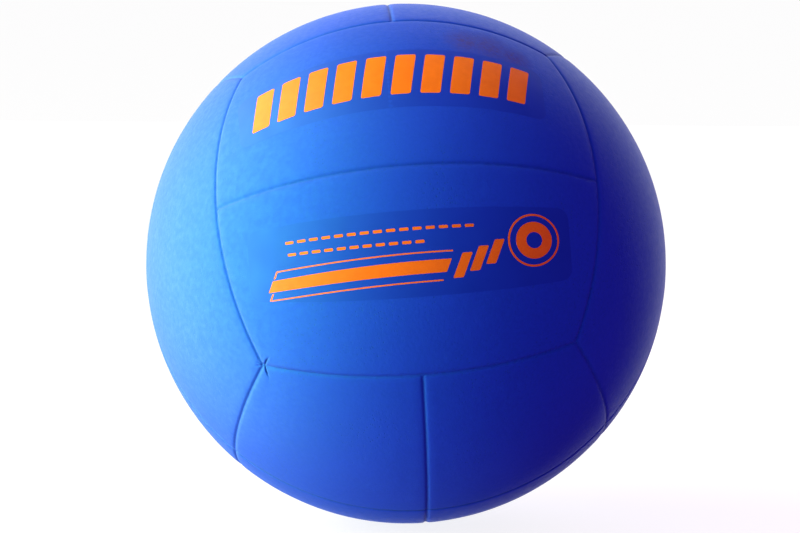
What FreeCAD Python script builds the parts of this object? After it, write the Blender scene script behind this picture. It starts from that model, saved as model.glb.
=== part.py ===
import FreeCAD, Part
import Sketcher
import math
import os

# A hollow moulded ball: twelve cover panels over a carcass, a thread winding and a bladder,
# with a needle valve on the hidden side and two printed films let into the front panels.
# Every piece is drawn about the ball centre. The pattern frame has the split front face
# towards -Y; the lie angles then turn the whole ball on the floor.

DIMENSIONS = (
    # alias, value or formula, what it is
    ("ball_diameter", 210.0, "over the cover panels"),
    ("cover_thickness", 0.9, "rubber cover panel"),
    ("carcass_thickness", 0.2, "thin rubber layer under the cover"),
    ("winding_thickness", 0.25, "band of thread around the bladder"),
    ("bladder_thickness", 0.45, "air-holding bladder wall"),
    ("patch_thickness", 0.5, "pad that ties the valve to the bladder"),
    ("flange_thickness", 1.0, "valve housing flange"),
    ("film_thickness", 0.12, "printed transfer film let into the cover"),
    ("seam_round", 0.7, "rounding along every panel edge; two make a seam groove"),
    ("parting_groove", 0.4, "radius of the shallow line left by the mould halves"),
    ("cover_outer", "=ball_diameter / 2", "outside of the cover"),
    ("cover_inner", "=cover_outer - cover_thickness", "outside of the carcass"),
    ("carcass_inner", "=cover_inner - carcass_thickness", "outside of the winding"),
    ("winding_inner", "=carcass_inner - winding_thickness", "outside of the bladder"),
    ("bladder_inner", "=winding_inner - bladder_thickness", "outside of the valve pad"),
    ("patch_inner", "=bladder_inner - patch_thickness", "outside of the valve flange"),
    ("flange_inner", "=patch_inner - flange_thickness", "inside of the valve flange"),
    ("film_inner", "=cover_outer - film_thickness", "floor of the film pocket"),
    ("wedge_near", 30.0, "near end of a panel cutter, from the ball centre"),
    ("wedge_far", "=ball_diameter * 0.6", "far end of a panel cutter"),
    ("stem_radius", 5.0, "valve housing where it fills the hole through the wall"),
    ("patch_radius", 20.0, "valve pad"),
    ("flange_radius", 14.0, "valve flange"),
    ("tube_radius", 5.6, "valve housing below its flange"),
    ("tube_bevel", 1.2, "bevel at the foot of the valve housing"),
    ("closed_end", 2.5, "valve housing below the plug"),
    ("rim_sunk", 0.3, "valve housing rim below the cover's surface"),
    ("rim_bevel", 0.25, "bevel on the housing rim"),
    ("head_sunk", 0.5, "plug top below the cover's surface"),
    ("head_radius", 3.8, "plug head"),
    ("head_thickness", 1.0, "plug head"),
    ("shank_radius", 3.1, "plug shank and its pocket"),
    ("plug_length", 13.0, "plug, from its top"),
    ("bead_radius", 3.7, "retaining bead on the plug"),
    ("bead_depth", 4.6, "plug top to the retaining bead"),
    ("bead_length", 1.6, "retaining bead"),
    ("bead_lead", 0.5, "taper at the upper side of the bead"),
    ("needle_radius", 1.25, "lead-in bore for the inflating needle"),
    ("needle_length", 9.0, "lead-in bore, from the plug top"),
    ("mouth_radius", 1.9, "flared mouth of the needle bore"),
    ("mouth_depth", 0.6, "flared mouth of the needle bore"),
    ("rim_height", "=cover_outer - rim_sunk", "top of the valve housing"),
    ("rim_bevel_radius", "=stem_radius - rim_bevel", "where the bevel on the housing rim starts"),
    ("rim_bevel_height", "=rim_height - rim_bevel", "where that bevel ends"),
    ("head_height", "=cover_outer - head_sunk", "top of the plug"),
    ("mouth_height", "=head_height - mouth_depth", "foot of the flared mouth"),
    ("head_seat", "=head_height - head_thickness", "underside of the plug head"),
    ("bead_top", "=head_height - bead_depth", "upper edge of the retaining bead"),
    ("bead_bottom", "=bead_top - bead_length", "lower edge of the retaining bead"),
    ("bead_taper", "=bead_top - bead_lead", "where the bead reaches its full radius"),
    ("needle_floor", "=head_height - needle_length", "floor of the needle bore"),
    ("plug_bottom", "=head_height - plug_length", "foot of the plug"),
    ("tube_bottom", "=plug_bottom - closed_end", "foot of the valve housing"),
    ("tube_bevel_radius", "=tube_radius - tube_bevel", "where the bevel at that foot starts"),
    ("tube_bevel_height", "=tube_bottom + tube_bevel", "where that bevel ends"),
    ("valve_tilt", 22.5, "degrees from the back face's split seam up to the valve"),
    ("valve_edge_round", 0.3, "rounding of the cover around the valve"),
    ("film_near", "=ball_diameter * 0.2", "near end of a film cutter, from the ball centre"),
    ("film_corner", 5.0, "rounding of the film corners"),
    ("film_left", 36.9, "degrees from the middle of the ball to the left end of both films"),
    ("upper_film_right", 32.2, "degrees from the middle to the upper film's right end"),
    ("lower_film_right", 35.2, "degrees from the middle to the lower film's right end"),
    ("upper_film_low", 14.0, "degrees above the front split seam"),
    ("upper_film_high", 31.5, "degrees above the front split seam"),
    ("lower_film_low", 28.0, "degrees below the front split seam"),
    ("lower_film_high", 9.8, "degrees below the front split seam"),
    ("lie_yaw", 2.55, "degrees about the vertical, the last of the three lie turns"),
    ("lie_pitch", -3.87, "degrees about Y, which lift the right side of the ball"),
    ("lie_roll", -29.0, "degrees about X, which tip the front face up"),
)

# Each panel is one half of a cube face blown up on to the ball: the way its face looks,
# and the side of that face's split seam it lies on.
PANELS = {
    "front_upper_panel": ((0, -1, 0), (0, 0, 1)),
    "front_lower_panel": ((0, -1, 0), (0, 0, -1)),
    "back_upper_panel": ((0, 1, 0), (0, 0, 1)),
    "back_lower_panel": ((0, 1, 0), (0, 0, -1)),
    "top_left_panel": ((0, 0, 1), (-1, 0, 0)),
    "top_right_panel": ((0, 0, 1), (1, 0, 0)),
    "bottom_left_panel": ((0, 0, -1), (-1, 0, 0)),
    "bottom_right_panel": ((0, 0, -1), (1, 0, 0)),
    "left_front_panel": ((-1, 0, 0), (0, -1, 0)),
    "left_back_panel": ((-1, 0, 0), (0, 1, 0)),
    "right_front_panel": ((1, 0, 0), (0, -1, 0)),
    "right_back_panel": ((1, 0, 0), (0, 1, 0)),
}
VALVE_PANEL = "back_upper_panel"
PARTED_PANELS = ("top_left_panel", "top_right_panel", "bottom_left_panel", "bottom_right_panel")

# The panels that carry a printed film: its name, its edges nearer to and further from the split
# seam, and its ends towards -X and +X as the panel is drawn. The lower panel is turned over.
FILMS = {
    "front_upper_panel": (
        "upper_print_film",
        ("upper_film_low", "upper_film_high"),
        ("film_left", "upper_film_right"),
    ),
    "front_lower_panel": (
        "lower_print_film",
        ("lower_film_high", "lower_film_low"),
        ("lower_film_right", "film_left"),
    ),
}

POLE = "pole"  # a corner at the foot of a sphere, on the axis
AXIS = "axis"  # a corner on the axis at a named height
ON_SURFACE = 1e-4

doc = FreeCAD.newDocument("ball")
sheet = doc.addObject("Spreadsheet::Sheet", "Dimensions")
for row, (alias, value, meaning) in enumerate(DIMENSIONS, start=1):
    sheet.set(f"A{row}", meaning)
    sheet.set(f"B{row}", str(value))
    sheet.setAlias(f"B{row}", alias)
doc.recompute()

pieces = []


def size(alias):
    return float(sheet.get(alias))


def bind(target, prop, formula):
    """Drives one property of an object from the dimension sheet."""
    target.setExpression(prop, formula)


def named(alias):
    return f"Dimensions.{alias}"


def finish_piece(piece, label, rotation):
    """Names a finished sub-part and turns it into its place."""
    piece.Label = label
    piece.Placement = FreeCAD.Placement(FreeCAD.Vector(0, 0, 0), lie * rotation)
    pieces.append(piece)


def spherical_shell(name, outer, inner):
    """A full hollow sphere between two named radii."""
    outside = doc.addObject("Part::Sphere", f"{name}_outside")
    bind(outside, "Radius", named(outer))
    inside = doc.addObject("Part::Sphere", f"{name}_inside")
    bind(inside, "Radius", named(inner))
    shell = doc.addObject("Part::Cut", f"{name}_shell")
    shell.Base = outside
    shell.Tool = inside
    return shell


def panel_cutter(name):
    """A pyramid from near the centre that covers the upper half of the front face."""
    cutter = doc.addObject("Part::Wedge", f"{name}_cutter")
    near, far = named("wedge_near"), named("wedge_far")
    bind(cutter, "Ymin", near)
    bind(cutter, "Ymax", far)
    bind(cutter, "Xmin", f"-{near}")
    bind(cutter, "Xmax", near)
    cutter.Zmin = 0
    bind(cutter, "Zmax", near)
    bind(cutter, "X2min", f"-{far}")
    bind(cutter, "X2max", far)
    cutter.Z2min = 0
    bind(cutter, "Z2max", far)
    cutter.Placement = FreeCAD.Placement(FreeCAD.Vector(0, 0, 0), half_turn)
    return cutter


def film_patch(name, edges, ends):
    """A rounded patch of thin shell between two angles off the front split seam.

    It is made twice: once to stay put and cut the pocket, and once to be turned into place.
    """
    cutter = doc.addObject("Part::Wedge", f"{name}_cutter")
    near, far = named("film_near"), named("wedge_far")
    bind(cutter, "Ymin", near)
    bind(cutter, "Ymax", far)
    # The half turn that faces the cutter forwards also swaps left and right.
    minus_x, plus_x = (f"{named('cover_outer')} * sin({named(end)} * 1 deg)" for end in ends)
    for side in ("Xmin", "X2min"):
        bind(cutter, side, f"-{plus_x}")
    for side in ("Xmax", "X2max"):
        bind(cutter, side, minus_x)
    for limit, edge in zip(("min", "max"), edges):
        slope = f"tan({named(edge)} * 1 deg)"
        bind(cutter, f"Z{limit}", f"{near} * {slope}")
        bind(cutter, f"Z2{limit}", f"{far} * {slope}")
    cutter.Placement = FreeCAD.Placement(FreeCAD.Vector(0, 0, 0), half_turn)
    doc.recompute()

    rounded = doc.addObject("Part::Fillet", f"{name}_rounded")
    rounded.Base = cutter
    corners = []
    for index, edge in enumerate(cutter.Shape.Edges, start=1):
        reach = [abs(vertex.Point.y) for vertex in edge.Vertexes]
        if max(reach) - min(reach) > ON_SURFACE:
            corners.append((index, size("film_corner"), size("film_corner")))
    rounded.Edges = corners

    shell = spherical_shell(name, "cover_outer", "film_inner")
    pair = []
    for role in ("pocket", "patch"):
        shape = doc.addObject("Part::Common", f"{name}_{role}")
        shape.Base = shell
        shape.Tool = rounded
        pair.append(shape)
    return pair


def body_over(name, base):
    """A PartDesign body that carries on from a finished base shape."""
    body = doc.addObject("PartDesign::Body", f"{name}_body")
    body.BaseFeature = base
    doc.recompute()
    return body


def border_edges(shape):
    """The outside edges where a panel meets its neighbours."""
    found = []
    for index, edge in enumerate(shape.Edges, start=1):
        first, last = edge.ParameterRange
        spots = [edge.valueAt(first + (last - first) * part) for part in (0.1, 0.5, 0.9)]
        on_cover = all(abs(spot.Length - size("cover_outer")) < ON_SURFACE for spot in spots)
        on_seam = any(
            all(abs(gap(spot)) < ON_SURFACE for spot in spots)
            for gap in (
                lambda spot: spot.z,
                lambda spot: spot.z + spot.y,
                lambda spot: spot.x + spot.y,
                lambda spot: spot.x - spot.y,
            )
        )
        if on_cover and on_seam:
            found.append(f"Edge{index}")
    return found


def round_edges(body, edges, alias):
    """Rounds the listed edges of a body's newest feature."""
    last_feature = body.Tip
    fillet = body.newObject("PartDesign::Fillet", "EdgeRound")
    fillet.Base = (last_feature, edges)
    bind(fillet, "Radius", named(alias))
    body.Tip = fillet
    doc.recompute()
    return fillet


def cover_panel(label, facing, side):
    """One cover panel, drawn as the upper half of the front face and turned into place."""
    blank = doc.addObject("Part::Common", f"{label}_blank")
    blank.Base = spherical_shell(label, "cover_outer", "cover_inner")
    blank.Tool = panel_cutter(label)

    if label in FILMS:
        film_name, edges, ends = FILMS[label]
        pocket, film = film_patch(film_name, edges, ends)
        pocketed = doc.addObject("Part::Cut", f"{label}_pocketed")
        pocketed.Base = blank
        pocketed.Tool = pocket
        blank = pocketed
    doc.recompute()

    body = body_over(label, blank)
    round_edges(body, border_edges(body.Shape), "seam_round")

    if label in PARTED_PANELS:
        parting = body.newObject("PartDesign::SubtractiveTorus", "PartingLine")
        bind(parting, "Radius1", named("cover_outer"))
        bind(parting, "Radius2", named("parting_groove"))
        parting.Placement = FreeCAD.Placement(FreeCAD.Vector(0, 0, 0), across)
        body.Tip = parting
    if label == VALVE_PANEL:
        hole = body.newObject("PartDesign::SubtractiveCylinder", "ValveHole")
        bind(hole, "Radius", named("stem_radius"))
        bind(hole, "Height", named("wedge_far"))
        hole.Placement = FreeCAD.Placement(FreeCAD.Vector(0, 0, 0), to_front_valve)
        body.Tip = hole
        doc.recompute()
        rim = []
        for index, edge in enumerate(body.Shape.Edges, start=1):
            middle = edge.valueAt(sum(edge.ParameterRange) / 2)
            radial = middle.cross(to_front_valve.multVec(FreeCAD.Vector(0, 0, 1))).Length
            outside = abs(middle.Length - size("cover_outer")) < ON_SURFACE
            if outside and abs(radial - size("stem_radius")) < ON_SURFACE:
                rim.append(f"Edge{index}")
        round_edges(body, rim, "valve_edge_round")

    outward = FreeCAD.Vector(*facing)
    away = FreeCAD.Vector(*side)
    turn = FreeCAD.Rotation((-outward).cross(away), -outward, away, "ZYX")
    finish_piece(body, label, turn)
    if label in FILMS:
        finish_piece(film, film_name, turn)


def origin_plane(body, role):
    for feature in body.Origin.OriginFeatures:
        if getattr(feature, "Role", "") == role:
            return feature
    raise RuntimeError(f"{body.Label} has no {role}")


def corner_point(corner):
    """The start position of a profile corner, in sketch coordinates."""
    across_axis, height = corner
    if across_axis == POLE:
        return FreeCAD.Vector(0, -size(height), 0)
    if across_axis == AXIS:
        return FreeCAD.Vector(0, size(height), 0)
    reach = size(across_axis)
    if isinstance(height, tuple):
        radius = size(height[1])
        return FreeCAD.Vector(reach, math.sqrt(radius**2 - reach**2), 0)
    return FreeCAD.Vector(reach, size(height), 0)


def sphere_of(corner):
    """The named sphere a corner lies on, or None for a corner at a plain height."""
    across_axis, height = corner
    if across_axis == POLE:
        return height
    return height[1] if isinstance(height, tuple) else None


def revolved_piece(label, corners):
    """A body turned about the valve axis from a closed profile.

    A corner is (radius alias, height alias), or (radius alias, ("ball", sphere alias)) where it
    lies on a sphere about the ball centre. Two neighbours on one sphere are joined by its arc.
    """
    body = doc.addObject("PartDesign::Body", f"{label}_body")
    sketch = body.newObject("Sketcher::SketchObject", f"{label}_profile")
    sketch.AttachmentSupport = (origin_plane(body, "XZ_Plane"), [""])
    sketch.MapMode = "FlatFace"
    points = [corner_point(corner) for corner in corners]
    count = len(corners)
    starts, ends = {}, {}

    for here in range(count):
        there = (here + 1) % count
        ball = sphere_of(corners[here])
        if ball and ball == sphere_of(corners[there]):
            angles = [math.atan2(points[k].y, points[k].x) for k in (here, there)]
            circle = Part.Circle(FreeCAD.Vector(0, 0, 0), FreeCAD.Vector(0, 0, 1), size(ball))
            edge = sketch.addGeometry(Part.ArcOfCircle(circle, min(angles), max(angles)), False)
            forwards = angles[0] < angles[1]
            sketch.addConstraint(Sketcher.Constraint("Coincident", edge, 3, -1, 1))
            radius = sketch.addConstraint(Sketcher.Constraint("Radius", edge, size(ball)))
            bind(sketch, f"Constraints[{radius}]", named(ball))
        else:
            edge = sketch.addGeometry(Part.LineSegment(points[here], points[there]), False)
            forwards = True
        starts[here] = (edge, 1 if forwards else 2)
        ends[there] = (edge, 2 if forwards else 1)

    for index, (across_axis, height) in enumerate(corners):
        sketch.addConstraint(Sketcher.Constraint("Coincident", *ends[index], *starts[index]))
        if across_axis in (POLE, AXIS):
            sketch.addConstraint(Sketcher.Constraint("PointOnObject", *starts[index], -2))
        else:
            reach = Sketcher.Constraint("DistanceX", -1, 1, *starts[index], points[index].x)
            bind(sketch, f"Constraints[{sketch.addConstraint(reach)}]", named(across_axis))
        if not isinstance(height, tuple) and across_axis != POLE:
            level = Sketcher.Constraint("DistanceY", -1, 1, *starts[index], points[index].y)
            bind(sketch, f"Constraints[{sketch.addConstraint(level)}]", named(height))

    doc.recompute()
    if not sketch.FullyConstrained:
        raise RuntimeError(f"{label}: the profile is not fully constrained")
    turned = body.newObject("PartDesign::Revolution", f"{label}_revolution")
    turned.Profile = sketch
    turned.ReferenceAxis = (sketch, ["V_Axis"])
    turned.Angle = 360
    body.Tip = turned
    finish_piece(body, label, to_valve)


def wall_layer(label, outer, inner):
    """A closed layer of the wall, pierced only where the valve goes through."""
    revolved_piece(
        label,
        (
            (POLE, outer),
            ("stem_radius", ("ball", outer)),
            ("stem_radius", ("ball", inner)),
            (POLE, inner),
        ),
    )


lie = FreeCAD.Rotation(size("lie_yaw"), size("lie_pitch"), size("lie_roll"))
half_turn = FreeCAD.Rotation(FreeCAD.Vector(0, 0, 1), 180)
across = FreeCAD.Rotation(FreeCAD.Vector(0, 1, 0), 90)
to_valve = FreeCAD.Rotation(FreeCAD.Vector(1, 0, 0), size("valve_tilt") - 90)
to_front_valve = FreeCAD.Rotation(FreeCAD.Vector(1, 0, 0), 90 - size("valve_tilt"))

for label, (facing, side) in PANELS.items():
    cover_panel(label, facing, side)

wall_layer("carcass_layer", "cover_inner", "carcass_inner")
wall_layer("thread_winding", "carcass_inner", "winding_inner")
wall_layer("bladder", "winding_inner", "bladder_inner")

revolved_piece(
    "valve_patch",
    (
        ("stem_radius", ("ball", "bladder_inner")),
        ("stem_radius", ("ball", "patch_inner")),
        ("patch_radius", ("ball", "patch_inner")),
        ("patch_radius", ("ball", "bladder_inner")),
    ),
)

BEAD = (
    ("shank_radius", "bead_bottom"),
    ("bead_radius", "bead_bottom"),
    ("bead_radius", "bead_taper"),
    ("shank_radius", "bead_top"),
)

revolved_piece(
    "valve_housing",
    (
        (AXIS, "tube_bottom"),
        ("tube_bevel_radius", "tube_bottom"),
        ("tube_radius", "tube_bevel_height"),
        ("tube_radius", ("ball", "flange_inner")),
        ("flange_radius", ("ball", "flange_inner")),
        ("flange_radius", ("ball", "patch_inner")),
        ("stem_radius", ("ball", "patch_inner")),
        ("stem_radius", "rim_bevel_height"),
        ("rim_bevel_radius", "rim_height"),
        ("head_radius", "rim_height"),
        ("head_radius", "head_seat"),
        ("shank_radius", "head_seat"),
        *reversed(BEAD),
        ("shank_radius", "plug_bottom"),
        (AXIS, "plug_bottom"),
    ),
)

revolved_piece(
    "valve_plug",
    (
        (AXIS, "plug_bottom"),
        ("shank_radius", "plug_bottom"),
        *BEAD,
        ("shank_radius", "head_seat"),
        ("head_radius", "head_seat"),
        ("head_radius", "head_height"),
        ("mouth_radius", "head_height"),
        ("needle_radius", "mouth_height"),
        ("needle_radius", "needle_floor"),
        (AXIS, "needle_floor"),
    ),
)

doc.recompute()
for item in doc.Objects:
    if {"Invalid", "Error"} & set(item.State):
        raise RuntimeError(f"{item.Label}: {item.State}")
for piece in pieces:
    if piece.Shape.isNull() or not piece.Shape.isValid():
        raise RuntimeError(f"{piece.Label} has no valid shape")

os.makedirs("parts", exist_ok=True)
for piece in pieces:
    piece.Shape.exportStep(f"parts/{piece.Label}.step")
    print(f"{piece.Label}: {piece.Shape.Volume:.1f} mm3, {len(piece.Shape.Solids)} solid")
print(f"{len(pieces)} pieces, {sum(piece.Shape.Volume for piece in pieces):.0f} mm3 in all")
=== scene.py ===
import math

import bpy
import numpy as np
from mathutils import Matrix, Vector, noise


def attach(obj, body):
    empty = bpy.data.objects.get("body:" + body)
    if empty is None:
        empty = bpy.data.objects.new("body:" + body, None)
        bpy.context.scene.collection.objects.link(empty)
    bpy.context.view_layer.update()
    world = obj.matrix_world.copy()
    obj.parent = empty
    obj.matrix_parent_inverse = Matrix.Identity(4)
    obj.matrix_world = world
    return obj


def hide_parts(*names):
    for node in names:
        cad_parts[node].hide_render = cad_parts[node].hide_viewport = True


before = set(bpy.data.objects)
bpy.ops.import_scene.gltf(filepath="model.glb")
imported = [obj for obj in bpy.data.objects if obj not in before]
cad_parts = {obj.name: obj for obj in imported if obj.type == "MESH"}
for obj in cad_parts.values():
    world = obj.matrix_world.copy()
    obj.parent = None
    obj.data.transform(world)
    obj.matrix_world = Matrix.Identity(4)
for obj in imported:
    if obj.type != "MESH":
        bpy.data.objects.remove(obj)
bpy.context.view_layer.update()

# ---------------------------------------------------------------- sizes, in metres
MM = 0.001
BALL_RADIUS = 105 * MM
COVER_RADIUS = 104.9 * MM  # the skin; films and ink stand a little proud of it
COVER_INSIDE = 104.1 * MM
LIE_YAW, LIE_PITCH, LIE_ROLL = 2.55, -3.87, -29.0  # how the pattern lies, as in the CAD model
SEAM_DEPTH = 0.36 * MM
SEAM_HALF_WIDTH = 0.72 * MM
SEAM_SAG = 0.16 * MM
SEAM_SAG_REACH = 2.0 * MM
PARTING_DEPTH = 0.42 * MM
PARTING_HALF_WIDTH = 0.85 * MM
PARTING_PAINTED_SHADE = 1.7  # its painted shade on the groove scale, where 1 is a seam and 2 a dark crease
SEAM_WOBBLE, SEAM_WOBBLE_SCALE = 0.2, 21.0  # how much and how often a seam's width varies
SEAM_CROWDING = 1.15  # most that seams deepen each other where they meet
# how far painted shade spreads from a seam
SEAM_PAINTED_SHADE_REACH = 0.9 * MM
SWELL = 0.05 * MM  # slow unevenness of a moulded skin
SWELL_LENGTH = 26 * MM
SWELL_MARGIN = 6 * MM  # the unevenness dies out this far from a seam
DEEPEST = 0.74 * MM  # no groove goes through the panel
FILM_PROUD = 0.012 * MM
INK_PROUD = 0.02 * MM
SINK = 0.08 * MM  # how far a film reaches into the skin
INK_SINK = 0.02 * MM  # how far ink reaches into its film
VALVE_TILT = 22.5
VALVE_HOLE = 5.0 * MM
VALVE_HOLE_ROUND = 0.4 * MM
# how far painted shade spreads from the valve hole
VALVE_PAINTED_SHADE_REACH = 0.8 * MM

FACES = {
    "front_upper_panel": ((0, -1, 0), (0, 0, 1)),
    "front_lower_panel": ((0, -1, 0), (0, 0, -1)),
    "back_upper_panel": ((0, 1, 0), (0, 0, 1)),
    "back_lower_panel": ((0, 1, 0), (0, 0, -1)),
    "top_left_panel": ((0, 0, 1), (-1, 0, 0)),
    "top_right_panel": ((0, 0, 1), (1, 0, 0)),
    "bottom_left_panel": ((0, 0, -1), (-1, 0, 0)),
    "bottom_right_panel": ((0, 0, -1), (1, 0, 0)),
    "left_front_panel": ((-1, 0, 0), (0, -1, 0)),
    "left_back_panel": ((-1, 0, 0), (0, 1, 0)),
    "right_front_panel": ((1, 0, 0), (0, -1, 0)),
    "right_back_panel": ((1, 0, 0), (0, 1, 0)),
}
PARTED = ("top_left_panel", "top_right_panel", "bottom_left_panel", "bottom_right_panel")
VALVE_PANEL = "back_upper_panel"


def turn(axis, degrees):
    """A 3x3 rotation about X, Y or Z."""
    c, s = math.cos(math.radians(degrees)), math.sin(math.radians(degrees))
    i, j = {"X": (1, 2), "Y": (2, 0), "Z": (0, 1)}[axis]
    made = np.eye(3)
    made[i, i] = made[j, j] = c
    made[i, j], made[j, i] = -s, s
    return made


LIE = turn("Z", LIE_YAW) @ turn("Y", LIE_PITCH) @ turn("X", LIE_ROLL)


def unit(v):
    v = np.asarray(v, float)
    return v / np.linalg.norm(v, axis=-1, keepdims=True)


# ---------------------------------------------------------------- the skin's shape
def rounded(distance, radius):
    """Depth of a rounded edge at a distance from it."""
    inside = np.clip(radius - distance, 0, radius)
    return radius - np.sqrt(radius**2 - inside**2)


def swell(directions):
    """Slow bumps of the moulded skin at pattern directions."""
    scale = COVER_RADIUS / SWELL_LENGTH
    finer, share = 3.1, 0.35
    made = []
    for d in directions:
        broad = noise.noise(Vector(d * scale))
        made.append(broad + share * noise.noise(Vector(d * scale * finer)))
    return SWELL * np.array(made)


# The moulded crinkle where three panels meet at the lower left of the front face. Each
# crease: angle in degrees, then root, length, bow, depth and half width in millimetres,
# and how much painted shade darkens its bottom. Its root lies off the corner along CRINKLE_SLANT.
CRINKLE_AT = unit((-1, -1, -1))
CRINKLE_SLANT = math.radians(35)
CRINKLE_NEAR = 0.99  # cosine of the angle from the corner that the creases stay within
CRINKLE = (
    (-28, 0.75, 4.9, -0.35, 0.52, 0.34, 1.0),
    (98, 0.75, 5.6, 0.35, 0.52, 0.34, 1.0),
    (-133, 0.0, 3.6, 0.1, 0.24, 0.30, 0.2),
    (-164, 0.0, 4.2, -0.1, 0.24, 0.30, 0.2),
)
CRINKLED = ("front_lower_panel", "bottom_left_panel", "left_front_panel")
CRINKLE_REACH = 6.6  # millimetres of finer mesh at the crinkled corner
CRINKLE_STEP = 0.28
CREASE_LEAD, CREASE_RAMP = 0.3, 0.4  # a crease starts this far before its root, and deepens over this
CREASE_PAINTED_SHADE = 2  # a dark crease's painted shade on the groove scale, where 1 is a seam
NOTCHES = (unit((-1, -1, 1)), unit((1, -1, 1)))  # pits where seams meet on the front face
NOTCH_DEPTH = 0.30 * MM
NOTCH_RADIUS = 0.75 * MM


def crinkle(directions):
    """Depth of the little creases near the crinkled corner, and how much painted shade darkens them.
    """
    right = unit(np.cross((0, 0, 1), -CRINKLE_AT)) * -1
    up = np.cross(right, -CRINKLE_AT) * -1
    flat = np.stack([directions @ right, directions @ up], axis=-1) * COVER_RADIUS / MM
    near = directions @ CRINKLE_AT > CRINKLE_NEAR
    depth, dark = np.zeros(len(directions)), np.zeros(len(directions))
    slant = np.array([math.cos(CRINKLE_SLANT), math.sin(CRINKLE_SLANT)])
    for angle, root, length, bow, deep, half_width, shade in CRINKLE:
        a = math.radians(angle)
        off = flat - root * slant
        along = off @ np.array([math.cos(a), math.sin(a)])
        share = np.clip(along / length, 0, 1)
        across = off @ np.array([-math.sin(a), math.cos(a)]) - bow * np.sin(math.pi * share)
        fade = np.clip(2 * (1 - share), 0, 1) * np.clip((along + CREASE_LEAD) / CREASE_RAMP, 0, 1)
        profile = fade * np.exp(-((across / half_width) ** 2))
        depth = np.maximum(depth, deep * profile)
        dark = np.maximum(dark, shade * profile)
    return np.where(near, depth, 0) * MM, np.where(near, dark, 0)


def skin_radius(directions, facing, side, parted, valve):
    """Radius of the cover at pattern directions, and its place on the groove scale of painted shade.

    The scale is 0 away from grooves, 1 in a seam, and CREASE_PAINTED_SHADE in a dark crease."""
    facing, side = np.array(facing, float), np.array(side, float)
    along = np.cross(side, facing)
    out, up, run = directions @ facing, directions @ side, directions @ along
    gaps = np.stack(
        [up, (out - up) / math.sqrt(2), (out - run) / math.sqrt(2), (out + run) / math.sqrt(2)]
    )
    gaps = COVER_RADIUS * np.arcsin(np.clip(gaps, 0, 1))
    wobble = np.array([noise.noise(Vector(d * SEAM_WOBBLE_SCALE)) for d in directions])
    half_width = SEAM_HALF_WIDTH * (1 + SEAM_WOBBLE * wobble)
    nearest = gaps.min(axis=0)
    depth = SEAM_DEPTH * np.exp(-((gaps / half_width) ** 2)).sum(axis=0).clip(0, SEAM_CROWDING)
    depth = depth + SEAM_SAG * np.exp(-((gaps / SEAM_SAG_REACH) ** 2)).sum(axis=0).clip(0, 1)
    # The mark sets painted shade in the skin's colour: seams, parting line, valve hole and creases.
    painted_shade_mark = np.exp(-((nearest / SEAM_PAINTED_SHADE_REACH) ** 2))
    if parted:
        line = COVER_RADIUS * np.abs(np.arcsin(np.clip(run, -1, 1)))
        profile = np.exp(-((line / PARTING_HALF_WIDTH) ** 2))
        depth = depth + PARTING_DEPTH * profile
        painted_shade_mark = np.maximum(painted_shade_mark, PARTING_PAINTED_SHADE * profile)
    if valve is not None:
        reach = COVER_RADIUS * np.arccos(np.clip(directions @ valve, -1, 1)) - VALVE_HOLE
        depth = depth + rounded(reach.clip(0, 1), VALVE_HOLE_ROUND)
        painted_shade_mark = np.maximum(painted_shade_mark, np.exp(-((reach / VALVE_PAINTED_SHADE_REACH) ** 2)))
    for notch in NOTCHES:
        reach = COVER_RADIUS * np.arccos(np.clip(directions @ notch, -1, 1))
        depth = depth + NOTCH_DEPTH * np.exp(-((reach / NOTCH_RADIUS) ** 2))
    creased, dark = crinkle(directions)
    depth = depth + creased
    painted_shade_mark = np.maximum(painted_shade_mark, CREASE_PAINTED_SHADE * dark)
    away = np.clip(nearest / SWELL_MARGIN, 0, 1)
    slow = (swell(directions) + SWELL).clip(0) * away
    return COVER_RADIUS - np.minimum(depth, DEEPEST) - slow, painted_shade_mark


# Distances from a border to its grid lines, in millimetres: dense on the rounded edge.
BORDER_STEPS = (
    0.0, 0.06, 0.13, 0.21, 0.3, 0.4, 0.51, 0.64, 0.8, 1.0,
    1.25, 1.55, 1.9, 2.3, 2.8, 3.4, 4.1, 5.0, 6.2,
)
EDGE_STEPS_END = 0.9  # up to here a crinkled corner keeps the steps above


def spread(start, end, borders, coarse, fine_end=False):
    """Grid stations from start to end, dense near each border, in millimetres of arc."""
    stations = set()
    for border in borders:
        for step in BORDER_STEPS:
            for place in (border - step, border + step):
                if start <= place <= end:
                    stations.add(round(place, 4))
    if fine_end:
        first, last = end - CRINKLE_REACH, end - EDGE_STEPS_END
        stations = {place for place in stations if not first < place < last}
        stations |= {round(end - step, 4) for step in np.arange(1.0, CRINKLE_REACH, CRINKLE_STEP)}
    clear = BORDER_STEPS[-1] + 0.5 * coarse
    count = int((end - start) / coarse)
    for k in range(count + 1):
        place = start + (end - start) * k / count
        if all(abs(place - border) > clear for border in borders):
            stations.add(round(place, 4))
    return np.array(sorted(stations))


ARC_PER_DEGREE = COVER_RADIUS / MM * math.pi / 180
HALF_FACE = 45 * ARC_PER_DEGREE
PANEL_STEP, VALVE_PANEL_STEP = 2.4, 2.6  # millimetres between grid lines away from seams
SHARP_ANGLE = math.radians(38)


def mesh_object(name, vertices, faces, painted_shade_marks=None):
    """A piece of the ball from vertices in the row frame."""
    mesh = bpy.data.meshes.new(name)
    mesh.from_pydata([tuple(v) for v in vertices], [], faces)
    mesh.update()
    for polygon in mesh.polygons:
        polygon.use_smooth = True
    mesh.set_sharp_from_angle(angle=SHARP_ANGLE)
    if painted_shade_marks is not None:
        layer = mesh.attributes.new("groove", "FLOAT", "POINT")
        layer.data.foreach_set("value", np.asarray(painted_shade_marks, dtype=np.float32))
    made = bpy.data.objects.new(name, mesh)
    bpy.context.collection.objects.link(made)
    return made


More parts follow.
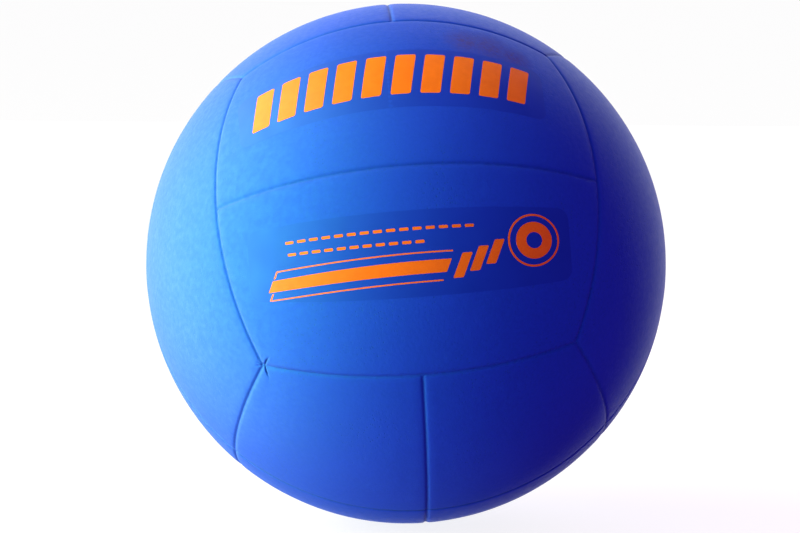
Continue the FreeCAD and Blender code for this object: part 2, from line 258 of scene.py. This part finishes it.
def grid_faces(rows, columns, start=0, flip=False, closed=False):
    """Quads over a grid of vertices stored row by row."""
    faces = []
    for i in range(rows - 1):
        for j in range(columns if closed else columns - 1):
            k = (j + 1) % columns
            quad = [start + i * columns + j, start + i * columns + k,
                    start + (i + 1) * columns + k, start + (i + 1) * columns + j]
            faces.append(quad[::-1] if flip else quad)
    return faces


def ring_of(rows, columns):
    """Indices around the border of a grid, counter-clockwise."""
    bottom = list(range(columns))
    right = [i * columns + columns - 1 for i in range(1, rows)]
    top = [(rows - 1) * columns + j for j in range(columns - 2, -1, -1)]
    left = [i * columns for i in range(rows - 2, 0, -1)]
    return bottom + right + top + left


def solid_between(name, outer, inner, rows, columns, painted_shade_marks=None):
    """A closed piece between two matching grids of points."""
    count = rows * columns
    faces = grid_faces(rows, columns) + grid_faces(rows, columns, count, flip=True)
    ring = ring_of(rows, columns)
    for here, there in zip(ring, ring[1:] + ring[:1]):
        faces.append([there, here, here + count, there + count])
    both = None if painted_shade_marks is None else np.concatenate([painted_shade_marks, np.zeros(count)])
    return mesh_object(name, np.concatenate([outer, inner]), faces, both)


def panel_piece(name, facing, side):
    """One cover panel as a closed shell with rounded edges."""
    half = HALF_FACE
    middle = (0.0,) if name in PARTED else ()
    crinkled = name in CRINKLED
    across = spread(-half, half, (-half, half) + middle, PANEL_STEP, crinkled)
    up = spread(0, half, (0.0, half), PANEL_STEP, crinkled)
    run, rise = np.meshgrid(np.tan(across / ARC_PER_DEGREE * math.pi / 180),
                            np.tan(up / ARC_PER_DEGREE * math.pi / 180))
    facing_v, side_v = np.array(facing, float), np.array(side, float)
    along = np.cross(side_v, facing_v)
    directions = unit(facing_v + run.reshape(-1, 1) * along + rise.reshape(-1, 1) * side_v)
    radius, painted_shade_marks = skin_radius(directions, facing, side, name in PARTED, None)
    outer = (directions * radius[:, None]) @ LIE.T
    inner = (directions * COVER_INSIDE) @ LIE.T
    return solid_between(name + "_skin", outer, inner, len(up), len(across), painted_shade_marks)


# The valve panel's rings, in millimetres: in from its border, then out from the valve hole.
BORDER_RINGS = (0, 0.06, 0.14, 0.24, 0.36, 0.5, 0.66, 0.85, 1.1, 1.4, 1.8, 2.3, 3.0, 4.0, 5.5)
MIDDLE_RINGS = 13
HOLE_RINGS = (6.0, 4.6, 3.4, 2.4, 1.6, 1.0, 0.7, 0.5, 0.36, 0.25, 0.16, 0.09, 0.04, 0.0)


def valve_panel_piece(name, facing, side):
    """The panel around the valve: rings that run from its border in to the valve hole."""
    half = HALF_FACE
    corners = spread(-half, half, (-half, half), VALVE_PANEL_STEP)
    uprights = spread(0, half, (0.0, half), VALVE_PANEL_STEP)
    border = [(x, 0.0) for x in corners[:-1]] + [(half, y) for y in uprights[:-1]]
    border += [(x, half) for x in corners[:0:-1]] + [(-half, y) for y in uprights[:0:-1]]
    border = np.array(border)
    centre = np.array([0.0, VALVE_TILT * ARC_PER_DEGREE])
    hole = VALVE_HOLE / MM
    shares = list(np.array(BORDER_RINGS) / centre[1])
    shares += list(np.linspace(shares[-1], 1, MIDDLE_RINGS + 1)[1:])
    rings = []
    offsets = border - centre
    lengths = np.linalg.norm(offsets, axis=1, keepdims=True)
    bearing = offsets / lengths
    for share in shares:
        # A smooth step from the border's shape to circles.
        blend = share**3 * (10 - 15 * share + 6 * share * share) if share < 1 else 1.0
        square = offsets * (1 - share)
        first_reach = hole + HOLE_RINGS[0]
        circle = bearing * (first_reach + (lengths - first_reach) * (1 - share))
        rings.append(centre + square * (1 - blend) + circle * blend)
    for extra in HOLE_RINGS[1:]:
        rings.append(centre + bearing * (hole + extra))
    flat = np.concatenate(rings)
    facing_v, side_v = np.array(facing, float), np.array(side, float)
    along = np.cross(side_v, facing_v)
    angles = np.tan(flat / ARC_PER_DEGREE * math.pi / 180)
    directions = unit(facing_v + angles[:, :1] * along + angles[:, 1:] * side_v)
    axis = unit(facing_v + math.tan(math.radians(VALVE_TILT)) * side_v)
    # Close to the hole the rings are true circles about the valve axis.
    across = unit(np.cross(side_v, axis))
    upward = np.cross(axis, across)
    columns = len(border)
    first_circle = len(shares) - 1
    for k, extra in enumerate(HOLE_RINGS, first_circle):
        rows = slice(k * columns, (k + 1) * columns)
        tilt = math.atan2((hole + extra) * MM, COVER_RADIUS)
        spoke = bearing[:, :1] * across + bearing[:, 1:] * upward
        directions[rows] = math.cos(tilt) * axis + math.sin(tilt) * spoke
    radius, painted_shade_marks = skin_radius(directions, facing, side, False, axis)
    outer = (directions * radius[:, None]) @ LIE.T
    inner = (directions * COVER_INSIDE) @ LIE.T
    rows_count = len(rings)
    count = rows_count * columns
    faces = grid_faces(rows_count, columns, closed=True)
    faces += grid_faces(rows_count, columns, count, flip=True, closed=True)
    for j in range(columns):
        k = (j + 1) % columns
        last = (rows_count - 1) * columns
        faces.append([k, j, j + count, k + count])
        faces.append([last + j, last + k, last + k + count, last + j + count])
    painted_shade_marks = np.concatenate([painted_shade_marks, np.zeros(count)])
    return mesh_object(name + "_skin", np.concatenate([outer, inner]), faces, painted_shade_marks)


# ---------------------------------------------------------------- printed films and ink
def on_ball(reach, rise, proud):
    """Row-frame points at print angles: degrees along the seam and degrees off it."""
    a, p = np.radians(reach), np.radians(rise)
    directions = np.stack([np.sin(a), -np.cos(a) * np.cos(p), np.cos(a) * np.sin(p)], axis=-1)
    facing = (0, -1, 0)
    upper = directions[:, 2] >= 0
    radius = np.empty(len(directions))
    for mask, side in ((upper, (0, 0, 1)), (~upper, (0, 0, -1))):
        if mask.any():
            radius[mask] = skin_radius(directions[mask], facing, side, False, None)[0]
    return (directions * (radius + proud)[:, None]) @ LIE.T


CORNER_POINTS = 7  # grid lines across a rounded corner


def rounded_patch(width, height, corner, step):
    """A grid over a rectangle with rounded corners, about its middle, in degrees."""
    ends = corner * (1 - np.cos(np.linspace(0, math.pi / 2, CORNER_POINTS)))
    inner = np.arange(corner + step, width / 2, step)
    side = np.concatenate([ends, inner]) - width / 2
    across = np.concatenate([side, -side[::-1]])
    across = np.unique(np.round(across, 6))
    edge = np.clip(corner - (width / 2 - np.abs(across)), 0, corner)
    reach = height / 2 - corner + np.sqrt(np.maximum(corner**2 - edge**2, 0))
    rows = max(3, int(height / step) + 1)
    share = np.linspace(-1, 1, rows)
    x = np.tile(across, (rows, 1))
    y = share[:, None] * reach[None, :]
    return x, y


def thin_solids(name, patches, top, foot):
    """One piece from several closed thin solids.

    A patch is a grid of reaches and one of rises, in print angles, and whether its
    columns meet themselves around a ring."""
    vertices, faces = [], []
    start = 0
    for x, y, closed in patches:
        rows, columns = x.shape
        upper = on_ball(x.ravel(), y.ravel(), top)
        lower = on_ball(x.ravel(), y.ravel(), foot)
        count = rows * columns
        vertices += [upper, lower]
        faces += grid_faces(rows, columns, start, closed=closed)
        faces += grid_faces(rows, columns, start + count, flip=True, closed=closed)
        borders = [ring_of(rows, columns)]
        if closed:
            borders = [list(range(columns)), list(range(count - 1, count - 1 - columns, -1))]
        for border in borders:
            ring = [start + k for k in border]
            for here, there in zip(ring, ring[1:] + ring[:1]):
                faces.append([there, here, here + count, there + count])
        start += 2 * count
    return mesh_object(name, np.concatenate(vertices), faces)


FILM_CORNER, FILM_STEP = 2.7, 1.1


def film(name, left, right, low, high):
    """A printed film between print angles."""
    x, y = rounded_patch(right - left, high - low, FILM_CORNER, FILM_STEP)
    patch = (x + (left + right) / 2, y + (low + high) / 2, False)
    return thin_solids(name, [patch], FILM_PROUD, -SINK)


SAG_MIDDLE = 4.0  # the reach, in degrees, that sagging rows bend down from


def block(left, right, low, high, lean, corner, step=0.7, sag=0.0):
    """A leaning block between print angles; sag bends it down away from the middle."""
    x, y = rounded_patch(right - left, high - low, corner, step)
    x = x + (left + right) / 2 + lean * y
    y = y + (low + high) / 2 - sag * (x - SAG_MIDDLE) ** 2
    return x, y, False


def ring_patch(centre, inner, outer, count=72, rings=3):
    """A flat ring about a centre in print angles."""
    angle = np.arange(count) * 2 * math.pi / count
    a, r = np.meshgrid(angle, np.linspace(outer, inner, rings))
    return centre[0] + r * np.cos(a), centre[1] + r * np.sin(a), True


def upper_ink():
    """A row of plain leaning blocks."""
    count, left, right = 10, -33.6, 29.2
    low, high, lean, gap, corner = 17.6, 29.6, 0.17, 0.16, 0.5
    pitch = (right - left) / count
    patches = []
    for k in range(count):
        start = left + k * pitch
        ends = start + gap * pitch, start + (1 - gap) * pitch
        patches.append(block(*ends, low, high, lean, corner))
    return patches


# The lower print. Rows of dashes: reach of the first and last, and rise.
DASH_ROWS = ((-27.6, 12.4, -13.7), (-27.2, 1.6, -16.5))
DASH_LENGTH, DASH_GAP, DASH_HALF_HEIGHT, DASH_SAG = 1.9, 0.85, 0.32, 0.0004
# The stripe, the fine lines above and below it, and the hooks that tie them to its left end:
# left, right, low, high, lean, corner, mesh step, sag.
STRIPES = (
    (-31.8, 7.0, -23.2, -20.45, 0.45, 0.12, 0.9, 0.0019),
    (-30.2, 8.0, -18.95, -18.65, 0.0, 0.1, 0.9, 0.0016),
    (-31.8, 5.6, -25.0, -24.7, 0.0, 0.1, 0.9, 0.0022),
    (-30.6, -30.2, -20.4, -18.7, 0.45, 0.1, 0.2, 0.0016),
    (-31.9, -31.5, -24.9, -23.2, 0.45, 0.1, 0.2, 0.0022),
)
BAR_LOWS = (-24.6, -23.4, -22.2)
BAR_FIRST, BAR_PITCH, BAR_WIDTH, BAR_HEIGHT, BAR_LEAN = 8.8, 3.6, 2.2, 5.2, 0.45
RING_MIDDLE = (26.2, -17.6)
FINE_RING, BROAD_RING = (5.7, 6.15), (1.9, 4.3)  # inner and outer radius


def lower_ink():
    """Two rows of short dashes, a broad stripe between fine lines, bars, and plain rings."""
    patches = []
    for place, end, level in DASH_ROWS:
        low, high = level - DASH_HALF_HEIGHT, level + DASH_HALF_HEIGHT
        while place < end:
            patches.append(block(place, place + DASH_LENGTH, low, high, 0.0, 0.2, 0.5, DASH_SAG))
            place += DASH_LENGTH + DASH_GAP
    patches += [block(*stripe) for stripe in STRIPES]
    for k, low in enumerate(BAR_LOWS):
        left = BAR_FIRST + BAR_PITCH * k
        patches.append(block(left, left + BAR_WIDTH, low, low + BAR_HEIGHT, BAR_LEAN, 0.3, 0.6))
    patches.append(ring_patch(RING_MIDDLE, *FINE_RING))
    patches.append(ring_patch(RING_MIDDLE, *BROAD_RING, rings=5))
    return patches


# ---------------------------------------------------------------- materials
# Colours are linear red, green and blue.
SKIN_GLOSS = (0.06, 0.97, 1.0, 1)  # the blue skin's broad gloss leans to cyan
SKIN_DEEP, SKIN_BRIGHT = (0.0040, 0.0092, 0.340), (0.0047, 0.0102, 0.362)
SKIN_CLOUD, SKIN_SPECK = (0.0052, 0.0115, 0.372), (0.0062, 0.014, 0.43)
SKIN_DUST = (0.014, 0.036, 0.42)
# Painted shade for the grooves, and darker painted shade for the bottoms of the creases.
GROOVE_PAINTED_SHADE_BLUE, CREASE_PAINTED_SHADE_NAVY = (0.0030, 0.0060, 0.23), (0.0012, 0.0024, 0.050)
# The pores' blue is painted shade in their pits.
PORE_PAINTED_SHADE_BLUE, SMUDGE_PURPLE = (0.0018, 0.0040, 0.15), (0.060, 0.0008, 0.125)
FILM_DEEP, FILM_BRIGHT = (0.0034, 0.0072, 0.305), (0.0040, 0.0084, 0.325)
INK_DEEP, INK_BRIGHT = (0.58, 0.138, 0.0010), (0.64, 0.156, 0.0015)
INK_WORN = (0.50, 0.16, 0.06)
THREAD_GAP_PAINTED_SHADE, THREAD_TOP = (0.30, 0.27, 0.20), (0.80, 0.77, 0.68)


class Nodes:
    """Short calls for building one material's node tree."""

    def __init__(self, name):
        self.material = bpy.data.materials.new(name)
        self.material.use_nodes = True
        self.tree = self.material.node_tree
        self.shader = self.tree.nodes["Principled BSDF"]
        self.place = self.add("ShaderNodeTexCoord").outputs["Object"]

    def add(self, kind, **settings):
        node = self.tree.nodes.new(kind)
        for key, value in settings.items():
            setattr(node, key, value)
        return node

    def join(self, source, target):
        self.tree.links.new(source, target)

    def noise(self, scale, detail=2.0, rough=0.5):
        """Noise whose features are about a metre divided by its scale."""
        node = self.add("ShaderNodeTexNoise")
        node.inputs["Scale"].default_value = scale
        node.inputs["Detail"].default_value = detail
        node.inputs["Roughness"].default_value = rough
        self.join(self.place, node.inputs["Vector"])
        return node.outputs["Fac"]

    def cells(self, scale):
        """Distance from the middle of each of many small cells, in cells."""
        node = self.add("ShaderNodeTexVoronoi", feature="F1")
        node.inputs["Scale"].default_value = scale
        self.join(self.place, node.inputs["Vector"])
        return node.outputs["Distance"]

    def span(self, value, low, high, to_low, to_high):
        """Maps a value from the range low to high onto to_low to to_high."""
        node = self.add("ShaderNodeMapRange")
        node.inputs["From Min"].default_value = low
        node.inputs["From Max"].default_value = high
        node.inputs["To Min"].default_value = to_low
        node.inputs["To Max"].default_value = to_high
        self.join(value, node.inputs["Value"])
        return node.outputs["Result"]

    def math(self, operation, first, second):
        node = self.add("ShaderNodeMath", operation=operation)
        for socket, value in zip(node.inputs, (first, second)):
            if isinstance(value, (int, float)):
                socket.default_value = value
            else:
                self.join(value, socket)
        return node.outputs["Value"]

    def blend(self, factor, first, second):
        node = self.add("ShaderNodeMix", data_type="RGBA")
        self.join(factor, node.inputs["Factor"])
        for socket, value in ((node.inputs["A"], first), (node.inputs["B"], second)):
            if isinstance(value, tuple):
                socket.default_value = (*value, 1)
            else:
                self.join(value, socket)
        return node.outputs["Result"]

    def attribute(self, name):
        return self.add("ShaderNodeAttribute", attribute_name=name).outputs["Fac"]

    def bump(self, height, strength, distance, after=None):
        """Relief from a height, with its distance in metres, over an earlier bump."""
        node = self.add("ShaderNodeBump")
        node.inputs["Strength"].default_value = strength
        node.inputs["Distance"].default_value = distance
        self.join(height, node.inputs["Height"])
        if after is not None:
            self.join(after, node.inputs["Normal"])
        return node.outputs["Normal"]

    def colour(self, value):
        self.join(value, self.shader.inputs["Base Color"])

    def roughness(self, value):
        self.join(value, self.shader.inputs["Roughness"])

    def normal(self, value):
        self.join(value, self.shader.inputs["Normal"])

    def set(self, **values):
        for key, value in values.items():
            self.shader.inputs[key.replace("_", " ")].default_value = value


# A faint handling smudge on the upper front panel: row-frame points and reaches in metres.
SMUDGE = (
    ((0.0240, -0.0409, 0.0933), 0.0110),
    ((0.0320, -0.0400, 0.0912), 0.0125),
    ((0.0420, -0.0405, 0.0870), 0.0095),
)
SMUDGE_STRENGTH = 0.85


def smudge(n):
    """Nearness to the smudge from 0 to its strength, broken up by noise."""
    total = 0.0
    for point, reach in SMUDGE:
        apart = n.add("ShaderNodeVectorMath", operation="DISTANCE")
        n.join(n.place, apart.inputs[0])
        apart.inputs[1].default_value = point
        total = n.math("MAXIMUM", total, n.span(apart.outputs["Value"], 0.2 * reach, reach, 1, 0))
    patchy = n.span(n.noise(230, 3, 0.6), 0.35, 0.65, 0.7, 1)
    return n.math("MULTIPLY", n.math("MULTIPLY", total, patchy), SMUDGE_STRENGTH)


def cover_material():
    """Blue rubber: mottled, dusty, grained, pored; painted shade in grooves, creases and pores."""
    n = Nodes("cover_rubber_blue")
    mottle = n.noise(38, 3, 0.55)
    cloud = n.noise(11, 2, 0.5)
    base = n.blend(n.span(mottle, 0.35, 0.65, 0, 1), SKIN_DEEP, SKIN_BRIGHT)
    base = n.blend(n.span(cloud, 0.42, 0.7, 0, 0.5), base, SKIN_CLOUD)
    dust = n.span(n.noise(420, 2, 0.6), 0.66, 0.78, 0, 0.35)
    base = n.blend(dust, base, SKIN_DUST)
    # Painted shade: the colour darkens in the seams, along the parting line and round the valve hole.
    base = n.blend(n.span(n.attribute("groove"), 0.15, 1, 0, 0.6), base, GROOVE_PAINTED_SHADE_BLUE)
    # Painted shade: dark navy in the bottoms of the creases and, more faintly, along the parting
    # line.
    base = n.blend(n.span(n.attribute("groove"), 1.0, 1.8, 0, 0.9), base, CREASE_PAINTED_SHADE_NAVY)
    smudged = smudge(n)
    base = n.blend(smudged, base, SMUDGE_PURPLE)
    speck = n.span(n.noise(760, 2, 0.6), 0.35, 0.65, 0, 0.4)
    base = n.blend(speck, base, SKIN_SPECK)
    dull = n.span(smudged, 0, 1, 0, 0.26)
    n.roughness(n.math("ADD", n.span(n.noise(420, 3, 0.6), 0.3, 0.7, 0.62, 0.73), dull))
    pore = n.span(n.cells(760), 0.10, 0.24, 1, 0)
    pored = n.math("MULTIPLY", pore, n.span(n.noise(34, 2, 0.5), 0.46, 0.62, 0.15, 1))
    # Painted shade: the pits of the pores are darker; their relief comes from the bump below.
    n.colour(n.blend(n.math("MULTIPLY", pored, 0.7), base, PORE_PAINTED_SHADE_BLUE))
    grain = n.noise(1900, 3, 0.65)
    pebble = n.cells(1300)
    fine = n.bump(grain, 0.28, 0.06 * MM)
    coarse = n.bump(n.noise(720, 3, 0.6), 0.65, 0.1 * MM, fine)
    pitted = n.bump(n.math("MULTIPLY", pored, -1.0), 0.5, 0.12 * MM, coarse)
    n.normal(n.bump(pebble, 0.10, 0.05 * MM, pitted))
    n.set(Specular_IOR_Level=1.0)
    n.shader.inputs["Specular Tint"].default_value = SKIN_GLOSS
    return n.material


def film_material():
    """The print's clear carrier, a little darker and glossier than the skin."""
    n = Nodes("print_film_clear_blue")
    drift = n.noise(60, 2, 0.5)
    base = n.blend(n.span(drift, 0.35, 0.65, 0, 1), FILM_DEEP, FILM_BRIGHT)
    n.colour(base)
    n.roughness(n.span(n.noise(90, 2, 0.5), 0.3, 0.7, 0.59, 0.65))
    n.normal(n.bump(n.noise(420, 2, 0.5), 0.10, 0.08 * MM))
    n.set(Specular_IOR_Level=0.85)
    n.shader.inputs["Specular Tint"].default_value = SKIN_GLOSS
    return n.material


def ink_material():
    """Orange ink, a little uneven, with fine worn spots."""
    n = Nodes("print_ink_orange")
    body = n.noise(240, 3, 0.6)
    base = n.blend(n.span(body, 0.3, 0.7, 0, 1), INK_DEEP, INK_BRIGHT)
    worn = n.span(n.noise(900, 2, 0.7), 0.70, 0.80, 0, 0.55)
    n.colour(n.blend(worn, base, INK_WORN))
    n.roughness(n.span(n.noise(300, 2, 0.5), 0.3, 0.7, 0.38, 0.48))
    n.normal(n.bump(n.noise(1500, 2, 0.6), 0.15, 0.05 * MM))
    n.set(Specular_IOR_Level=0.15)
    return n.material


def inner_rubber(name, dark, light, rough):
    """Matt rubber between two colours."""
    n = Nodes(name)
    n.colour(n.blend(n.span(n.noise(70, 3, 0.6), 0.3, 0.7, 0, 1), dark, light))
    n.roughness(n.span(n.noise(200, 2, 0.5), 0.3, 0.7, rough - 0.06, rough + 0.06))
    n.normal(n.bump(n.noise(1400, 2, 0.6), 0.2, 0.06 * MM))
    return n.material


def thread_material():
    """Thread wound in three directions, darker between its bands as painted shade."""
    n = Nodes("winding_thread_wound")
    waves = []
    for turns in ((0.4, 0.2, 0.9), (-0.7, 0.5, 0.1), (0.1, -0.9, 0.6)):
        spin = n.add("ShaderNodeMapping")
        spin.inputs["Rotation"].default_value = turns
        n.join(n.place, spin.inputs["Vector"])
        wave = n.add("ShaderNodeTexWave", wave_type="BANDS", bands_direction="DIAGONAL")
        wave.inputs["Scale"].default_value = 420
        wave.inputs["Distortion"].default_value = 1.2
        n.join(spin.outputs["Vector"], wave.inputs["Vector"])
        waves.append(wave.outputs["Fac"])
    height = n.math("MAXIMUM", n.math("MAXIMUM", waves[0], waves[1]), waves[2])
    # Painted shade: the gaps between the bands are darker.
    n.colour(n.blend(height, THREAD_GAP_PAINTED_SHADE, THREAD_TOP))
    n.roughness(n.span(n.noise(500, 2, 0.5), 0.3, 0.7, 0.7, 0.9))
    n.normal(n.bump(height, 0.6, 0.15 * MM))
    return n.material


# ---------------------------------------------------------------- the pieces
def place(piece, material, slot, *nodes):
    """Gives a piece its material and ties it to the CAD."""
    piece.data.materials.clear()
    piece.data.materials.append(material)
    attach(piece, "root")
    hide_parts(*nodes)


cover = cover_material()
for panel, (facing, side) in FACES.items():
    make = valve_panel_piece if panel == VALVE_PANEL else panel_piece
    place(make(panel, facing, side), cover, "cover_rubber", panel)

UPPER_FILM = (-36.9, 32.2, 14.0, 31.5)  # left, right, low and high print angles
LOWER_FILM = (-36.9, 35.2, -28.0, -9.8)
INK_TOP, INK_FOOT = FILM_PROUD + INK_PROUD, FILM_PROUD - INK_SINK

film_look, ink_look = film_material(), ink_material()
upper_film = film("upper_print_film_skin", *UPPER_FILM)
lower_film = film("lower_print_film_skin", *LOWER_FILM)
place(upper_film, film_look, "print_film", "upper_print_film")
place(lower_film, film_look, "print_film", "lower_print_film")
upper_print = thin_solids("upper_print_ink", upper_ink(), INK_TOP, INK_FOOT)
lower_print = thin_solids("lower_print_ink", lower_ink(), INK_TOP, INK_FOOT)
place(upper_print, ink_look, "print_film", "upper_print_film")
place(lower_print, ink_look, "print_film", "lower_print_film")

# Rubber under the cover: material name, darker and lighter colour, and roughness.
INNER_RUBBER = {
    "carcass_layer": ("carcass_rubber_dark", (0.05, 0.05, 0.055), (0.08, 0.08, 0.085), 0.75),
    "bladder": ("bladder_rubber_black", (0.025, 0.025, 0.03), (0.045, 0.045, 0.05), 0.5),
    "valve_patch": ("valve_pad_rubber", (0.03, 0.03, 0.033), (0.055, 0.055, 0.06), 0.6),
    "valve_housing": ("valve_housing_rubber", (0.008, 0.008, 0.009), (0.015, 0.015, 0.017), 0.55),
    "valve_plug": ("valve_plug_rubber", (0.011, 0.011, 0.012), (0.020, 0.020, 0.022), 0.5),
}
inner_looks = {node: inner_rubber(*look) for node, look in INNER_RUBBER.items()}
inner_looks["thread_winding"] = thread_material()
for node, material in inner_looks.items():
    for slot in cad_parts[node].material_slots:
        slot.material = material

# ---------------------------------------------------------------- studio
FLOOR = -BALL_RADIUS
LIGHT_DISTANCE = 1.5
KEY_COLOUR, RIM_COLOUR = (1.0, 1.09, 0.79), (0.90, 0.80, 1.0)
PAPER_NEAR_DARK, PAPER_NEAR_LIGHT = (0.145, 0.15, 0.145), (0.155, 0.16, 0.155)
PAPER_FAR = (0.012, 0.012, 0.012)
PAPER_PAINTED_GLOW = (0.85, 0.97)  # painted light: the paper's own glow near the ball and far from it
PAPER_REACH = (0.25, 0.9)  # metres from the middle where near ends and far begins


def studio_floor():
    """A pale round floor that curves up into a wall all around, far behind the lamps."""
    flat, radius, top = 9.0, 3.0, 12.0  # metres: the floor's reach, its bend, the wall's top
    spokes, bend = 96, 16
    profile = [(flat, 0.0)]
    for k in range(1, bend + 1):
        a = math.pi / 2 * k / bend
        profile.append((flat + radius * math.sin(a), radius * (1 - math.cos(a))))
    profile.append((flat + radius, top))
    vertices = [(0.0, 0.0, FLOOR)]
    for reach, height in profile:
        for k in range(spokes):
            a = 2 * math.pi * k / spokes
            vertices.append((reach * math.cos(a), reach * math.sin(a), FLOOR + height))
    faces = [[0, 1 + k, 1 + (k + 1) % spokes] for k in range(spokes)]
    faces += grid_faces(len(profile), spokes, 1, flip=True, closed=True)
    mesh = bpy.data.meshes.new("studio_floor")
    mesh.from_pydata(vertices, [], faces)
    for polygon in mesh.polygons:
        polygon.use_smooth = True
    made = bpy.data.objects.new("studio_floor", mesh)
    bpy.context.collection.objects.link(made)
    n = Nodes("studio_paper_painted_glow")
    reach = n.add("ShaderNodeVectorMath", operation="LENGTH")
    n.join(n.place, reach.inputs[0])
    # Only the paper near the ball takes its shadow, so a lamp's edge hardly shows further off.
    far = n.span(reach.outputs["Value"], *PAPER_REACH, 0, 1)
    near_tone = n.blend(n.noise(6, 2, 0.5), PAPER_NEAR_DARK, PAPER_NEAR_LIGHT)
    n.colour(n.blend(far, near_tone, PAPER_FAR))
    # Painted light: the paper glows on its own, most where it takes almost no lamp light.
    n.join(n.span(far, 0, 1, *PAPER_PAINTED_GLOW), n.shader.inputs["Emission Strength"])
    n.set(Roughness=0.95, Specular_IOR_Level=0.1)
    n.shader.inputs["Emission Color"].default_value = (1, 1, 1, 1)
    mesh.materials.append(n.material)
    made.visible_diffuse = made.visible_glossy = made.visible_shadow = False


def soft_light(name, azimuth, elevation, width, height, power, colour):
    """A large soft light that faces the ball; azimuth 0 is the camera's side, 90 the right."""
    lamp = bpy.data.lights.new(name, "AREA")
    lamp.shape = "ELLIPSE"
    lamp.size = width
    lamp.size_y = height
    lamp.energy = power
    lamp.color = colour
    turned, raised = math.radians(azimuth), math.radians(elevation)
    made = bpy.data.objects.new(name, lamp)
    level = math.cos(raised)
    towards = Vector((math.sin(turned) * level, -math.cos(turned) * level, math.sin(raised)))
    made.location = LIGHT_DISTANCE * towards
    made.rotation_euler = (-made.location).to_track_quat("-Z", "Y").to_euler()
    made.visible_camera = False
    bpy.context.collection.objects.link(made)


studio_floor()
soft_light("key_left", -93, 7, 2.6, 4.6, 222, KEY_COLOUR)
soft_light("key_front", -60, 9, 2.0, 2.0, 23, KEY_COLOUR)
soft_light("rim_back", 176, 6, 2.6, 2.6, 47, RIM_COLOUR)

WORLD_COLOUR = (0.85, 0.20, 1.0, 1)  # violet, so the dark side stays deep
WORLD_STRENGTH = 0.65

world = bpy.data.worlds.new("studio_world")
bpy.context.scene.world = world
world.use_nodes = True
background = world.node_tree.nodes["Background"]
background.inputs["Color"].default_value = WORLD_COLOUR
background.inputs["Strength"].default_value = WORLD_STRENGTH
world.cycles_visibility.glossy = False  # its tint lights the ball but isn't mirrored in it
bpy.context.scene.view_settings.view_transform = "Standard"

# ---------------------------------------------------------------- camera
CAMERA_DISTANCE = 15.8 * BALL_RADIUS
CAMERA_ELEVATION = math.radians(8.0)
SENSOR = 36.0  # millimetres, like the lens
PHOTO_LENS, WIDER = 193.41, 0.955  # wider than the photograph, so that the whole ball shows
CAMERA_SHIFT = (-0.0075, -0.00375)  # in picture widths: the ball is a little off the middle

camera_data = bpy.data.cameras.new("camera")
camera_data.sensor_width = SENSOR
camera_data.lens = PHOTO_LENS * WIDER
camera_data.shift_x, camera_data.shift_y = CAMERA_SHIFT
camera = bpy.data.objects.new("camera", camera_data)
camera.location = (
    0,
    -CAMERA_DISTANCE * math.cos(CAMERA_ELEVATION),
    CAMERA_DISTANCE * math.sin(CAMERA_ELEVATION),
)
camera.rotation_euler = (math.pi / 2 - CAMERA_ELEVATION, 0, 0)
bpy.context.collection.objects.link(camera)
bpy.context.scene.camera = camera
